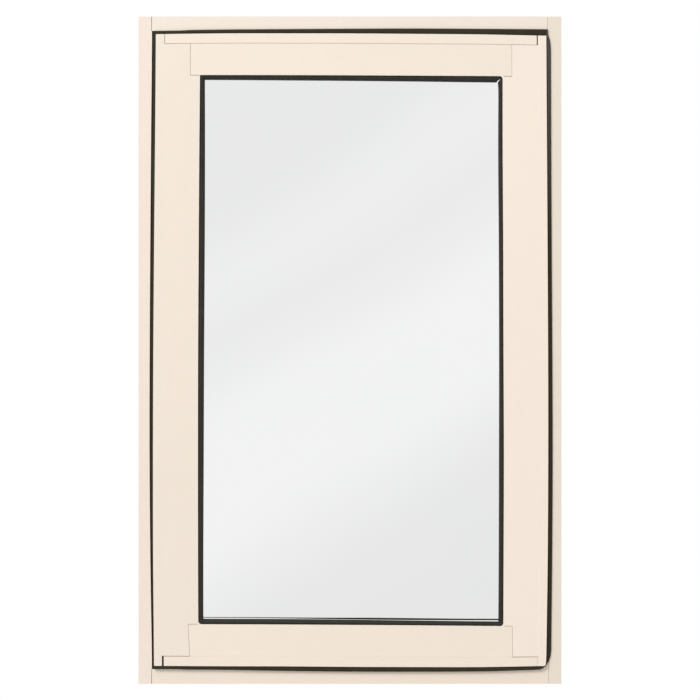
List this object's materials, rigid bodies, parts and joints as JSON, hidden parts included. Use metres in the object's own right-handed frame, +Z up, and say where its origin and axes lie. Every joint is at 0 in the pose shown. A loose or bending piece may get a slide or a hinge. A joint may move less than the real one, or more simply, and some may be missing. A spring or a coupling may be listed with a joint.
{
  "type": "hanging wall cabinet",
  "caption": "Tall wall cabinet with cream-painted boards, an inset framed mirror door on concealed pivots, rubber seals, shelves on pins and a hanging cleat.",
  "frame": {"origin": "middle of the wall cleat's back face, on the wall's surface", "axes": "+X to the right seen from the front, +Y into the wall, +Z up; the door faces -Y"},
  "size_m": [0.6, 0.175, 0.947],
  "materials": {
    "cream_paint": "cream satin paint over board and wood",
    "bare_wood": "planed, unpainted",
    "white_board": "white-faced hardboard",
    "black_rubber": "matt black rubber",
    "silver_mirror": "silvered glass",
    "steel": "bright zinc-plated",
    "grey_plastic": "moulded",
    "white_nylon": "moulded"
  },
  "bodies": {
    "carcass": {"side_panel_left": "cream_paint", "side_panel_right": "cream_paint", "top_panel": "cream_paint", "bottom_panel": "cream_paint", "back_panel": "white_board", "cabinet_cleat": "bare_wood", "wall_cleat": "bare_wood", "lower_batten": "bare_wood", "shelf_lower": "cream_paint", "shelf_middle": "cream_paint", "shelf_upper": "cream_paint", "shelf_pin_lower_left_front": "steel", "shelf_pin_lower_left_back": "steel", "shelf_pin_lower_right_front": "steel", "shelf_pin_lower_right_back": "steel", "shelf_pin_middle_left_front": "steel", "shelf_pin_middle_left_back": "steel", "shelf_pin_middle_right_front": "steel", "shelf_pin_middle_right_back": "steel", "shelf_pin_upper_left_front": "steel", "shelf_pin_upper_left_back": "steel", "shelf_pin_upper_right_front": "steel", "shelf_pin_upper_right_back": "steel", "upper_pivot_plate": "steel", "upper_pivot_pin": "steel", "upper_latch_housing": "grey_plastic", "upper_latch_spring": "steel", "lower_pivot_plate": "steel", "lower_pivot_pin": "steel", "lower_latch_housing": "grey_plastic", "lower_latch_spring": "steel"},
    "door": {"door_stile_left": "cream_paint", "door_stile_right": "cream_paint", "door_rail_top": "cream_paint", "door_rail_bottom": "cream_paint", "mirror_pane": "silver_mirror", "backing_board": "white_board", "glazing_gasket_left": "black_rubber", "glazing_gasket_right": "black_rubber", "glazing_gasket_top": "black_rubber", "glazing_gasket_bottom": "black_rubber", "retaining_bead_left": "cream_paint", "retaining_bead_right": "cream_paint", "retaining_bead_top": "cream_paint", "retaining_bead_bottom": "cream_paint", "door_seal_left": "black_rubber", "door_seal_right": "black_rubber", "door_seal_top": "black_rubber", "door_seal_bottom": "black_rubber", "upper_pivot_bush": "white_nylon", "upper_strike_plate": "steel", "lower_pivot_bush": "white_nylon", "lower_strike_plate": "steel"},
    "upper_plunger": {"upper_latch_plunger": "steel"},
    "lower_plunger": {"lower_latch_plunger": "steel"}
  },
  "joints": [
    {"name": "door_swing", "type": "hinge", "parent": "carcass", "child": "door", "pos_m": [-0.259, -0.165, -0.4035], "axis": [0, 0, -1], "range_deg": [0, 110]},
    {"name": "upper_latch_press", "type": "slide", "parent": "carcass", "child": "upper_plunger", "axis": [0, 1, 0], "range_m": [0, 0.0025], "stiffness_N_per_m": 300, "springref_m": -0.004, "deforming": ["upper_latch_spring"]},
    {"name": "lower_latch_press", "type": "slide", "parent": "carcass", "child": "lower_plunger", "axis": [0, 1, 0], "range_m": [0, 0.0025], "stiffness_N_per_m": 300, "springref_m": -0.004, "deforming": ["lower_latch_spring"]}
  ]
}
